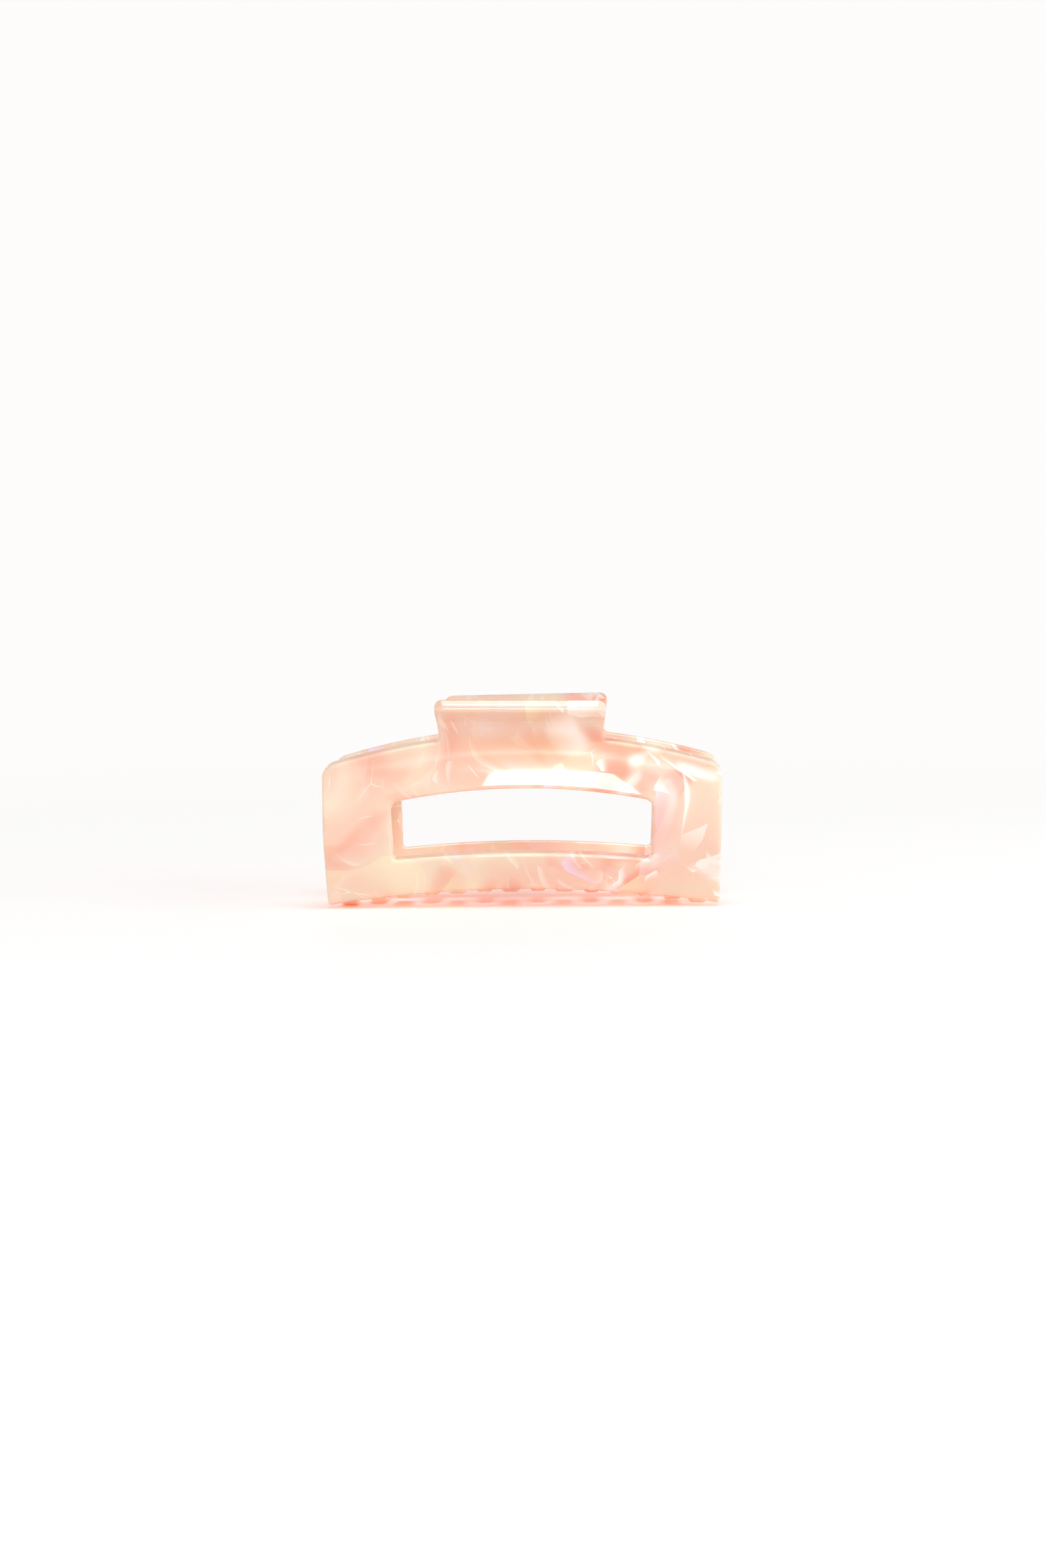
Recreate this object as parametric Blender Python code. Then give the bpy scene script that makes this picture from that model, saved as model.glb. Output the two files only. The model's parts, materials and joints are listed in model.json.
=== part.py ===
"""A rectangular claw clip for hair, closed and standing on its teeth.

Two equal jaws of bent acetate sheet, turned half a turn to each other about Z, hinge on a steel
pin along X. Each jaw has two glued lugs that carry the pin, and a torsion spring sits round it.
Metres, +Z up, with the origin on the surface that the clip stands on, below the middle of the pin.
The jaws, lugs, pin and spring have their origins on the hinge axis.
"""

import math

import bmesh
import bpy
from mathutils import Vector

MM = 0.001

# Driving sizes, in millimetres. "Depth" is the distance from the clip's middle plane.
PIVOT_HEIGHT = 34.5
SHEET = 3.0
EDGE_ROUND = 0.8
PLATE_HALF_WIDTH = 45.0
PLATE_FOOT_NARROWER = 0.7

# The sheet's middle surface in side view: a wide arc, a tight curl below it, and above it the
# bend that turns the thumb grip outwards.
BULGE_DEPTH = 15.5
BULGE_HEIGHT = 23.8
PLATE_RADIUS = 34.6
PLATE_TURN_DOWN = math.radians(30)
PLATE_TURN_UP = math.radians(17)
CURL_RADIUS = 3.5
CURL_TURN = math.radians(35)
GRIP_BEND_RADIUS = 9.2
GRIP_BEND_TURN = math.radians(77)
GRIP_STRAIGHT = 3.25

# How far the sheet's two ends hang below its middle, low on the plate and high on it.
ARCH_LOW = 3.5
ARCH_HIGH = 7.0

WINDOW_HALF_WIDTH_LOW = 29.0
WINDOW_HALF_WIDTH_HIGH = 29.5
WINDOW_BOTTOM_HEIGHT = 12.9
WINDOW_TOP_HEIGHT = 27.2
NECK_HALF_WIDTH = 18.2
GRIP_HALF_WIDTH = 19.3
GRIP_EDGE_SKEW = 0.45

TOOTH_COUNT = 7
TOOTH_PITCH = 12.25
TOOTH_WIDTH_ROOT = 4.6
TOOTH_WIDTH_TIP = 3.4
TOOTH_THICK_ROOT = 2.2
TOOTH_THICK_TIP = 1.8
TOOTH_TIP_DEPTH = -3.2
TOOTH_ROOT_DEPTH = 10.3
TOOTH_FLAT_DEPTH = 3.0
TOOTH_ROOT_RISE = 2.4

PIN_RADIUS = 1.0
PIN_CLEARANCE = 0.1
PIN_HEAD_RADIUS = 1.7
PIN_HEAD_LENGTH = 0.8
LUG_THICKNESS = 2.6
LUG_EYE_RADIUS = 2.8
LUG_FOOT_TOP = 2.6
LUG_FOOT_BOTTOM = -7.0
LUG_INNER_START = 6.0
LUG_GAP = 0.3
GLUE_GAP = 0.2

COIL_RADIUS = 2.6
COIL_TURNS = 6
COIL_HALF_LENGTH = 4.7
WIRE_RADIUS = 0.55
LEG_LENGTH = 12.6
LEG_RISE = math.radians(15)

ACETATE = (0.90, 0.60, 0.50, 1.0)
LUG_ACETATE = (0.90, 0.66, 0.55, 1.0)
STEEL = (0.72, 0.70, 0.66, 1.0)

for old in list(bpy.data.objects):
    bpy.data.objects.remove(old, do_unlink=True)


def material(name, colour, roughness, metallic):
    """A Principled material in one colour."""
    made = bpy.data.materials.new(name)
    made.use_nodes = True
    shader = made.node_tree.nodes["Principled BSDF"]
    shader.inputs["Base Color"].default_value = colour
    shader.inputs["Roughness"].default_value = roughness
    shader.inputs["Metallic"].default_value = metallic
    return made


def run_at(height):
    """The run along the sheet, from its widest place, to a height on the wide arc."""
    return PLATE_RADIUS * math.asin((height - BULGE_HEIGHT) / PLATE_RADIUS)


# Where the sheet's stretches end, as runs from its widest place.
RUN_CURL = -PLATE_RADIUS * PLATE_TURN_DOWN
RUN_FOOT = RUN_CURL - CURL_RADIUS * CURL_TURN
RUN_NECK = PLATE_RADIUS * PLATE_TURN_UP
RUN_GRIP = RUN_NECK + GRIP_BEND_RADIUS * GRIP_BEND_TURN
RUN_TOP = RUN_GRIP + GRIP_STRAIGHT
RUN_SHOULDER = RUN_NECK + 5.6


def along_arc(depth, height, heading, length, curvature):
    """The point and heading after a length of arc, where heading is the angle up from outwards."""
    turned = heading + length * curvature
    depth += (math.sin(turned) - math.sin(heading)) / curvature
    height -= (math.cos(turned) - math.cos(heading)) / curvature
    return depth, height, turned


def sheet_point(run):
    """Depth, height and heading of the sheet's middle surface, halfway along the clip."""
    on_arc = min(max(run, RUN_CURL), RUN_NECK)
    place = along_arc(BULGE_DEPTH, BULGE_HEIGHT, math.pi / 2, on_arc, 1 / PLATE_RADIUS)
    if run < RUN_CURL:
        place = along_arc(*place, run - RUN_CURL, 1 / CURL_RADIUS)
    if run > RUN_NECK:
        place = along_arc(*place, min(run, RUN_GRIP) - RUN_NECK, -1 / GRIP_BEND_RADIUS)
    depth, height, heading = place
    straight = max(run - RUN_GRIP, 0.0)
    return depth + straight * math.cos(heading), height + straight * math.sin(heading), heading


def smooth_step(low, high, value):
    share = min(max((value - low) / (high - low), 0.0), 1.0)
    return share * share * (3 - 2 * share)


def arch_drop(x, run):
    """How far a point at x hangs below the sheet's middle line. The grip's edge stays level."""
    high = smooth_step(run_at(WINDOW_BOTTOM_HEIGHT), run_at(WINDOW_TOP_HEIGHT), run)
    rise = ARCH_LOW + (ARCH_HIGH - ARCH_LOW) * high
    rise *= 1 - smooth_step(RUN_SHOULDER, RUN_TOP, run)
    return rise * (x / PLATE_HALF_WIDTH) ** 2


def bent(x, run, out):
    """A point of the flat sheet after bending, in metres from the hinge axis, on the -Y side."""
    depth, height, heading = sheet_point(run)
    depth += out * math.sin(heading)
    height -= out * math.cos(heading) + arch_drop(x, run)
    return Vector((x, -depth, height - PIVOT_HEIGHT)) * MM


def rounded(corners, steps):
    """A closed outline through corners (x, run, radius), each rounded with an arc-like curve."""
    points = []
    count = len(corners)
    for index, (x, run, radius) in enumerate(corners):
        corner = Vector((x, run))
        before = (Vector(corners[index - 1][:2]) - corner).normalized()
        after = (Vector(corners[(index + 1) % count][:2]) - corner).normalized()
        half = before.angle(after) / 2
        reach = radius / math.tan(half)
        centre = corner + (before + after).normalized() * radius / math.sin(half)
        start = corner + before * reach - centre
        end = corner + after * reach - centre
        for step in range(steps + 1):
            spoke = start.lerp(end, step / steps).normalized() * radius
            points.append(centre + spoke)
    return points


def flat_outlines(steps):
    """The jaw's outer edge and its window on the flat sheet."""
    foot = PLATE_HALF_WIDTH - PLATE_FOOT_NARROWER
    outer = rounded(
        [
            (-foot, RUN_FOOT, 0.6),
            (foot, RUN_FOOT, 0.6),
            (PLATE_HALF_WIDTH, RUN_SHOULDER, 2.6),
            (NECK_HALF_WIDTH, RUN_SHOULDER, 1.1),
            (GRIP_HALF_WIDTH, RUN_TOP - GRIP_EDGE_SKEW, 2.0),
            (-GRIP_HALF_WIDTH, RUN_TOP + GRIP_EDGE_SKEW, 2.0),
            (-NECK_HALF_WIDTH, RUN_SHOULDER, 1.1),
            (-PLATE_HALF_WIDTH, RUN_SHOULDER, 2.6),
        ],
        steps,
    )
    low = run_at(WINDOW_BOTTOM_HEIGHT)
    high = run_at(WINDOW_TOP_HEIGHT)
    window = rounded(
        [
            (-WINDOW_HALF_WIDTH_LOW, low, 1.0),
            (-WINDOW_HALF_WIDTH_HIGH, high, 1.7),
            (WINDOW_HALF_WIDTH_HIGH, high, 1.7),
            (WINDOW_HALF_WIDTH_LOW, low, 1.0),
        ],
        steps,
    )
    return outer, window


def flat_sheet(corner_steps, edge_steps):
    """The jaw before bending: a flat sheet, X across and Y along the run, with rounded edges."""
    curve = bpy.data.curves.new("flat_sheet", "CURVE")
    curve.dimensions = "2D"
    curve.fill_mode = "BOTH"
    curve.extrude = SHEET / 2 - EDGE_ROUND
    curve.bevel_depth = EDGE_ROUND
    curve.bevel_resolution = edge_steps
    curve.offset = -EDGE_ROUND
    for outline in flat_outlines(corner_steps):
        spline = curve.splines.new("POLY")
        spline.points.add(len(outline) - 1)
        spline.use_cyclic_u = True
        for point, place in zip(spline.points, outline):
            point.co = (place.x, place.y, 0.0, 1.0)
    holder = bpy.data.objects.new("flat_sheet", curve)
    bpy.context.scene.collection.objects.link(holder)
    evaluated = holder.evaluated_get(bpy.context.evaluated_depsgraph_get())
    mesh = bpy.data.meshes.new_from_object(evaluated)
    bpy.data.objects.remove(holder)
    return mesh


def cut_across(sheet, axis, values):
    """Adds edges across the flat sheet at these values of one axis, so that it can bend there."""
    normal = Vector((0, 0, 0))
    normal[axis] = 1
    for value in values:
        whole = sheet.verts[:] + sheet.edges[:] + sheet.faces[:]
        bmesh.ops.bisect_plane(sheet, geom=whole, dist=1e-5, plane_co=normal * value, plane_no=normal)


def spread(low, high, count):
    """Count + 1 values from low to high."""
    return [low + (high - low) * step / count for step in range(count + 1)]


def bent_sheet(corner_steps, edge_steps, columns, rows):
    """The bent jaw plate as a bmesh, without its teeth. Rows are for the curl, arc, bend and grip."""
    sheet = bmesh.new()
    sheet.from_mesh(flat_sheet(corner_steps, edge_steps))
    bmesh.ops.remove_doubles(sheet, verts=sheet.verts, dist=1e-4)
    bmesh.ops.dissolve_limit(sheet, angle_limit=1e-3, verts=sheet.verts, edges=sheet.edges)
    cut_across(sheet, 0, spread(-PLATE_HALF_WIDTH, PLATE_HALF_WIDTH, columns)[1:-1])
    stretches = (RUN_FOOT, RUN_CURL, RUN_NECK, RUN_GRIP, RUN_TOP)
    for low, high, count in zip(stretches, stretches[1:], rows):
        cut_across(sheet, 1, spread(low, high, count)[1:])
    bmesh.ops.triangulate(sheet, faces=sheet.faces)
    for vertex in sheet.verts:
        vertex.co = bent(*vertex.co)
    bmesh.ops.recalc_face_normals(sheet, faces=sheet.faces)
    return sheet


def tooth_section(share):
    """Half width, half thickness, depth and height of a tooth's middle, from root 0 to tip 1."""
    depth = TOOTH_ROOT_DEPTH + (TOOTH_TIP_DEPTH - TOOTH_ROOT_DEPTH) * share
    slope = max(depth - TOOTH_FLAT_DEPTH, 0.0) / (TOOTH_ROOT_DEPTH - TOOTH_FLAT_DEPTH)
    thick = TOOTH_THICK_ROOT + (TOOTH_THICK_TIP - TOOTH_THICK_ROOT) * share
    width = TOOTH_WIDTH_ROOT + (TOOTH_WIDTH_TIP - TOOTH_WIDTH_ROOT) * share
    lowest = arch_drop(tooth_x(0), RUN_FOOT)
    height = lowest + thick / 2 + TOOTH_ROOT_RISE * slope * slope
    return width / 2, thick / 2, depth, height


def tooth_x(index):
    """Teeth sit a quarter of their pitch off centre, so that the two jaws' teeth pass each other."""
    return (index - (TOOTH_COUNT - 1) / 2) * TOOTH_PITCH - TOOTH_PITCH / 4


def add_tooth(teeth, x, stations, corner_steps):
    """A tapered finger with a round end, flat below from TOOTH_FLAT_DEPTH to its tip."""
    rings = []
    round_off = 1.2
    length = TOOTH_ROOT_DEPTH - TOOTH_TIP_DEPTH
    tip_shares = [1 - round_off / length * (1 - step) for step in (0.35, 0.75, 1.0)]
    shares = spread(0.0, 1 - round_off / length, stations) + tip_shares
    for share in shares:
        half_width, half_thick, depth, height = tooth_section(share)
        past = max(0.0, 1 - (1 - share) * length / round_off)
        shrink = math.sqrt(max(1 - past * past, 0.0)) * 0.75 + 0.25
        half_width *= shrink
        height += half_thick * (1 - shrink) * 0.3
        half_thick *= 1 - (1 - shrink) * 0.3
        radius = min(0.7, half_width * 0.6, half_thick * 0.7)
        ring = []
        for side_x, side_z in ((1, -1), (1, 1), (-1, 1), (-1, -1)):
            start = math.atan2(side_z, side_x) - math.pi / 4
            for step in range(corner_steps + 1):
                angle = start + math.pi / 2 * step / corner_steps
                across = side_x * (half_width - radius) + radius * math.cos(angle)
                up = side_z * (half_thick - radius) + radius * math.sin(angle)
                z = height + up - arch_drop(x, RUN_FOOT) - PIVOT_HEIGHT
                ring.append(teeth.verts.new(Vector((x + across, -depth, z)) * MM))
        rings.append(ring)
    for ring, after in zip(rings, rings[1:]):
        for index in range(len(ring)):
            nearby = (index + 1) % len(ring)
            teeth.faces.new((ring[index], ring[nearby], after[nearby], after[index]))
    teeth.faces.new(rings[0])
    teeth.faces.new(rings[-1])


def new_object(name, mesh, paint=None):
    made = bpy.data.objects.new(name, mesh)
    bpy.context.scene.collection.objects.link(made)
    if paint:
        mesh.materials.append(paint)
    return made


def mesh_of(shape, name):
    mesh = bpy.data.meshes.new(name)
    shape.to_mesh(mesh)
    shape.free()
    return mesh


def shade(mesh):
    mesh.shade_smooth()
    mesh.set_sharp_from_angle(angle=math.radians(35))


def combined(mesh, other, operation):
    """A new mesh: the first one joined with the second, or cut by it."""
    holder = new_object("holder", mesh)
    tool = new_object("tool", other)
    boolean = holder.modifiers.new("combine", "BOOLEAN")
    boolean.operation = operation
    boolean.object = tool
    evaluated = holder.evaluated_get(bpy.context.evaluated_depsgraph_get())
    result = bpy.data.meshes.new_from_object(evaluated)
    bpy.data.objects.remove(holder)
    bpy.data.objects.remove(tool)
    return result


def jaw_mesh():
    """One jaw: the bent plate with its window and grip, and its teeth."""
    plate = mesh_of(bent_sheet(2, 0, 14, (2, 8, 6, 1)), "plate")
    teeth = bmesh.new()
    for index in range(TOOTH_COUNT):
        add_tooth(teeth, tooth_x(index), 3, 1)
    bmesh.ops.recalc_face_normals(teeth, faces=teeth.faces)
    mesh = combined(plate, mesh_of(teeth, "teeth"), "UNION")
    mesh.name = "jaw"
    shade(mesh)
    return mesh


def disc(centre_y, centre_z, radius, count):
    """Points of a circle in the YZ plane."""
    points = []
    for index in range(count):
        angle = 2 * math.pi * index / count
        points.append((centre_y + radius * math.cos(angle), centre_z + radius * math.sin(angle)))
    return points


def prism(outline, low, high):
    """A closed solid: an outline in the YZ plane, carried from x = low to x = high."""
    shape = bmesh.new()
    near = [shape.verts.new(Vector((low, y, z)) * MM) for y, z in outline]
    face = shape.faces.new(near)
    moved = bmesh.ops.extrude_face_region(shape, geom=[face])
    far = [item for item in moved["geom"] if isinstance(item, bmesh.types.BMVert)]
    bmesh.ops.translate(shape, verts=far, vec=Vector((high - low, 0, 0)) * MM)
    bmesh.ops.recalc_face_normals(shape, faces=shape.faces)
    return shape


def foot_depth(height):
    """Depth of the glued foot at a height above the hinge axis, a glue gap short of the sheet."""
    run = run_at(height + PIVOT_HEIGHT)
    depth, _, heading = sheet_point(run)
    return depth - (SHEET / 2 + GLUE_GAP) / math.sin(heading)


def lug_mesh(start):
    """A lug on the front jaw from x = start: an eye round the pin, and a foot along the sheet."""
    middle = start + math.copysign(LUG_THICKNESS / 2, start)
    drop = arch_drop(middle, RUN_NECK)
    outline = []
    for height in spread(LUG_FOOT_TOP, LUG_FOOT_BOTTOM, 4):
        outline.append((-foot_depth(height + drop), height))
    for step in spread(-100, 65, 8):
        angle = math.radians(step)
        outline.append((LUG_EYE_RADIUS * math.cos(angle), LUG_EYE_RADIUS * math.sin(angle)))
    end = start + math.copysign(LUG_THICKNESS, start)
    body = mesh_of(prism(outline, start, end), "lug")
    hole = mesh_of(prism(disc(0, 0, PIN_RADIUS + PIN_CLEARANCE, 20), start * 0.5, end * 1.5), "hole")
    mesh = combined(body, hole, "DIFFERENCE")
    shade(mesh)
    return mesh


def pin_mesh():
    """The hinge pin with its two pressed heads."""
    outer = LUG_INNER_START + 2 * LUG_THICKNESS + 2 * LUG_GAP
    stations = (
        (-outer - PIN_HEAD_LENGTH, PIN_HEAD_RADIUS * 0.75),
        (-outer - PIN_HEAD_LENGTH * 0.5, PIN_HEAD_RADIUS),
        (-outer, PIN_HEAD_RADIUS),
        (-outer, PIN_RADIUS),
        (outer, PIN_RADIUS),
        (outer, PIN_HEAD_RADIUS),
        (outer + PIN_HEAD_LENGTH * 0.5, PIN_HEAD_RADIUS),
        (outer + PIN_HEAD_LENGTH, PIN_HEAD_RADIUS * 0.75),
    )
    shape = bmesh.new()
    rings = []
    for x, radius in stations:
        rings.append([shape.verts.new(Vector((x, y, z)) * MM) for y, z in disc(0, 0, radius, 20)])
    for ring, after in zip(rings, rings[1:]):
        for index in range(len(ring)):
            nearby = (index + 1) % len(ring)
            shape.faces.new((ring[index], ring[nearby], after[nearby], after[index]))
    shape.faces.new(rings[0])
    shape.faces.new(rings[-1])
    bmesh.ops.recalc_face_normals(shape, faces=shape.faces)
    mesh = mesh_of(shape, "pin")
    shade(mesh)
    return mesh


def spring_path():
    """The wire's middle line: rear leg, coil round the pin, front leg."""
    rise = Vector((0, math.cos(LEG_RISE), math.sin(LEG_RISE)))
    first = math.pi / 2 + LEG_RISE
    last = math.pi / 2 - LEG_RISE + 2 * math.pi * COIL_TURNS
    steps = 11 * COIL_TURNS
    coil = []
    for step in range(steps + 1):
        share = step / steps
        angle = first + (last - first) * share
        x = COIL_HALF_LENGTH * (1 - 2 * share)
        coil.append(Vector((x, COIL_RADIUS * math.cos(angle), COIL_RADIUS * math.sin(angle))))
    rear = coil[0] + rise * LEG_LENGTH
    front = coil[-1] + rise * Vector((1, -1, 1)) * LEG_LENGTH
    return [rear] + coil + [front]


def make_spring(paint):
    """The torsion spring: a curve with a round bevel and filled ends."""
    curve = bpy.data.curves.new("torsion_spring", "CURVE")
    curve.dimensions = "3D"
    curve.bevel_depth = WIRE_RADIUS * MM
    curve.bevel_resolution = 1
    curve.use_fill_caps = True
    path = spring_path()
    spline = curve.splines.new("POLY")
    spline.points.add(len(path) - 1)
    for point, place in zip(spline.points, path):
        point.co = (*(place * MM), 1.0)
    curve.materials.append(paint)
    made = bpy.data.objects.new("torsion_spring", curve)
    bpy.context.scene.collection.objects.link(made)
    return made


def place(made, turned):
    """Puts a piece on the hinge axis, turned half a turn about Z if it belongs to the rear jaw."""
    made.location = (0, 0, PIVOT_HEIGHT * MM)
    made.rotation_euler = (0, 0, math.pi if turned else 0)


def build():
    acetate = material("marbled_acetate", ACETATE, 0.18, 0.0)
    lug_acetate = material("lug_acetate", LUG_ACETATE, 0.3, 0.0)
    steel = material("spring_steel", STEEL, 0.3, 1.0)
    jaw = jaw_mesh()
    jaw.materials.append(acetate)
    outer_start = LUG_INNER_START + LUG_THICKNESS + LUG_GAP
    inner_lug = lug_mesh(LUG_INNER_START)
    outer_lug = lug_mesh(-outer_start)
    inner_lug.materials.append(lug_acetate)
    outer_lug.materials.append(lug_acetate)
    place(new_object("front_jaw", jaw), False)
    place(new_object("rear_jaw", jaw), True)
    place(new_object("front_lug_right", inner_lug), False)
    place(new_object("front_lug_left", outer_lug), False)
    place(new_object("rear_lug_left", inner_lug), True)
    place(new_object("rear_lug_right", outer_lug), True)
    place(new_object("hinge_pin", pin_mesh(), steel), False)
    place(make_spring(steel), False)


build()
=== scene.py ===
"""Looks of the claw clip: marbled pearl acetate jaws, glued lugs, steel pin and torsion spring."""
import json
import math

import bmesh
import bpy
from mathutils import Matrix, Vector


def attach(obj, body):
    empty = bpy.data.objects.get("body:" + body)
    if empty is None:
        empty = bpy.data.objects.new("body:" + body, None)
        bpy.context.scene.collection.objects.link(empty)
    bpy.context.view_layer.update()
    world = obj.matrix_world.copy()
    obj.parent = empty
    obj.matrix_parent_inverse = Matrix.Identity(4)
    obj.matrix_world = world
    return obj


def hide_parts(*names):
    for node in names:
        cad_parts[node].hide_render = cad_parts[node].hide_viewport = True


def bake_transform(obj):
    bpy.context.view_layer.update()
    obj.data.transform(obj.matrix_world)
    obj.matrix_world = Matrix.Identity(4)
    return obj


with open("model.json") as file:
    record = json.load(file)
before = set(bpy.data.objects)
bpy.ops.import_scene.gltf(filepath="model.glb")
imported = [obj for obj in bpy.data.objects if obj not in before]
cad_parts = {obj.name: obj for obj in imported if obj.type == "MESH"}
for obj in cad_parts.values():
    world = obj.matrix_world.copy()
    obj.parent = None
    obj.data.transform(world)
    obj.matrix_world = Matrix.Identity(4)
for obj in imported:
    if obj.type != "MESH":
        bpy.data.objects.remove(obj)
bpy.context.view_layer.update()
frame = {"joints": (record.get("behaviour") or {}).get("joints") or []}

MM = 0.001
HINGE = Vector(frame["joints"][0]["pos_m"])

# The jaw's driving sizes, in millimetres, as the CAD model has them but for the finer edges. "Depth"
# is the distance from the clip's middle plane, and "run" is the way along the sheet from its widest
# place.
PIVOT_HEIGHT = HINGE.z / MM
SHEET = 3.0
EDGE_ROUND = 0.75
PLATE_HALF_WIDTH = 45.0
PLATE_FOOT_NARROWER = 0.7

# The sheet's middle surface in side view: a wide arc, a tight curl below it, and above it the
# bend that turns the thumb grip outwards.
BULGE_DEPTH = 15.5
BULGE_HEIGHT = 23.8
PLATE_RADIUS = 34.6
PLATE_TURN_DOWN = math.radians(30)
PLATE_TURN_UP = math.radians(17)
CURL_RADIUS = 3.5
CURL_TURN = math.radians(35)
GRIP_BEND_RADIUS = 9.2
GRIP_BEND_TURN = math.radians(77)
GRIP_STRAIGHT = 3.25

# How far the sheet's two ends hang below its middle, low on the plate and high on it.
ARCH_LOW = 3.5
ARCH_HIGH = 7.0

WINDOW_HALF_WIDTH_LOW = 29.0
WINDOW_HALF_WIDTH_HIGH = 29.5
WINDOW_BOTTOM_HEIGHT = 12.9
WINDOW_TOP_HEIGHT = 27.2
NECK_HALF_WIDTH = 18.2
GRIP_HALF_WIDTH = 19.3
GRIP_EDGE_SKEW = 0.45
SHOULDER_ABOVE_NECK = 5.6

# The corner radii of the flat sheet's outline and of its window.
FOOT_CORNER = 0.6
SHOULDER_CORNER = 2.6
NECK_CORNER = 1.1
GRIP_CORNER = 2.0
WINDOW_CORNER_LOW = 1.0
WINDOW_CORNER_HIGH = 1.7

TOOTH_COUNT = 7
TOOTH_PITCH = 12.25
TOOTH_WIDTH_ROOT = 4.6
TOOTH_WIDTH_TIP = 3.4
TOOTH_THICK_ROOT = 2.2
TOOTH_THICK_TIP = 1.8
TOOTH_TIP_DEPTH = -3.2
TOOTH_ROOT_DEPTH = 10.3
TOOTH_FLAT_DEPTH = 3.0
TOOTH_ROOT_RISE = 2.4
TOOTH_EDGE_ROUND = 0.75
TIP_ROUND = 1.4
TIP_END_SHARE = 0.12
TIP_END_LIFT = 0.25

# The hinge's sizes, in millimetres.
PIN_RADIUS = 1.0
PIN_HOLE_RADIUS = 1.1
PIN_HEAD_RADIUS = 1.7
PIN_HEAD_LENGTH = 0.8
PIN_HEAD_EDGE = 0.12
PIN_SIDES = 40
LUG_THICKNESS = 2.6
LUG_EYE_RADIUS = 2.8
LUG_FOOT_TOP = 2.6
LUG_FOOT_BOTTOM = -7.0
LUG_INNER_START = 6.0
LUG_GAP = 0.3
LUG_EDGE_ROUND = 0.35

# Where along the hinge a lug's foot is fitted to the sheet, and how far it sinks in, as if glued.
LUG_MIDDLE_X = 8.5
LUG_SUNK = 0.15

COIL_RADIUS = 2.6
COIL_TURNS = 6
COIL_STEPS_PER_TURN = 32
COIL_HALF_LENGTH = 4.7
WIRE_RADIUS = 0.55
LEG_LENGTH = 13.0
LEG_RISE = math.radians(15)

# The camera, round a point above the origin. Lengths in millimetres.
CAMERA_DISTANCE = 651.0
CAMERA_AZIMUTH = math.radians(2.2)
CAMERA_ELEVATION = math.radians(3.7)
CAMERA_ROLL = math.radians(-0.63)
CAMERA_AIM = (-0.2, 0.0, 27.2)
CAMERA_LENS = 65.1

# The table's radius and where it fades into the room, in metres, and the brightness of the room at
# table height and overhead.
TABLE_RADIUS = 60.0
FADE_START = 0.15
FADE_END = 0.65
WHITE = 0.985
ROOM_WHITE = (1.0, 0.99, 0.985, 1.0)
CEILING = 0.25

# The lamps. The overhead light has its width in degrees and the direction that it comes from. The
# softboxes face the clip's middle, and each has its place and size in metres and its power in watts.
SUN_WIDTH = 40
SUN_POWER = 1.7
SUN_FROM = (0.1, -0.35, 1.0)
CLIP_MIDDLE = (0.0, 0.0, 0.025)
SOFTBOXES = (
    ("front_softbox", (0.0, -1.1, 0.33), (0.17, 0.26), 1.9),
    ("top_softbox", (0.0, -0.62, 0.99), (0.12, 0.06), 0.32),
    ("side_softbox", (0.9, -0.45, 0.3), (0.3, 0.5), 3.0),
)


def run_at(height):
    """The run along the sheet to a height on the wide arc."""
    return PLATE_RADIUS * math.asin((height - BULGE_HEIGHT) / PLATE_RADIUS)


RUN_CURL = -PLATE_RADIUS * PLATE_TURN_DOWN
RUN_FOOT = RUN_CURL - CURL_RADIUS * CURL_TURN
RUN_NECK = PLATE_RADIUS * PLATE_TURN_UP
RUN_GRIP = RUN_NECK + GRIP_BEND_RADIUS * GRIP_BEND_TURN
RUN_TOP = RUN_GRIP + GRIP_STRAIGHT
RUN_SHOULDER = RUN_NECK + SHOULDER_ABOVE_NECK


# ---------------------------------------------------------------- the bent sheet


def along_arc(depth, height, heading, length, curvature):
    """The point and heading after a length of arc, where heading is the angle up from outwards."""
    turned = heading + length * curvature
    depth += (math.sin(turned) - math.sin(heading)) / curvature
    height -= (math.cos(turned) - math.cos(heading)) / curvature
    return depth, height, turned


def sheet_point(run):
    """Depth, height and heading of the sheet's middle surface, halfway along the clip."""
    on_arc = min(max(run, RUN_CURL), RUN_NECK)
    place = along_arc(BULGE_DEPTH, BULGE_HEIGHT, math.pi / 2, on_arc, 1 / PLATE_RADIUS)
    if run < RUN_CURL:
        place = along_arc(*place, run - RUN_CURL, 1 / CURL_RADIUS)
    if run > RUN_NECK:
        place = along_arc(*place, min(run, RUN_GRIP) - RUN_NECK, -1 / GRIP_BEND_RADIUS)
    depth, height, heading = place
    straight = max(run - RUN_GRIP, 0.0)
    return depth + straight * math.cos(heading), height + straight * math.sin(heading), heading


def smooth_step(low, high, value):
    share = min(max((value - low) / (high - low), 0.0), 1.0)
    return share * share * (3 - 2 * share)


def arch_drop(x, run):
    """How far a point at x hangs below the sheet's middle line. The grip's edge stays level."""
    high = smooth_step(run_at(WINDOW_BOTTOM_HEIGHT), run_at(WINDOW_TOP_HEIGHT), run)
    rise = ARCH_LOW + (ARCH_HIGH - ARCH_LOW) * high
    rise *= 1 - smooth_step(RUN_SHOULDER, RUN_TOP, run)
    return rise * (x / PLATE_HALF_WIDTH) ** 2


def bent(x, run, out):
    """A point of the flat sheet after bending, in metres, for the front jaw."""
    depth, height, heading = sheet_point(run)
    depth += out * math.sin(heading)
    height -= out * math.cos(heading) + arch_drop(x, run)
    return Vector((x, -depth, height)) * MM


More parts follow.
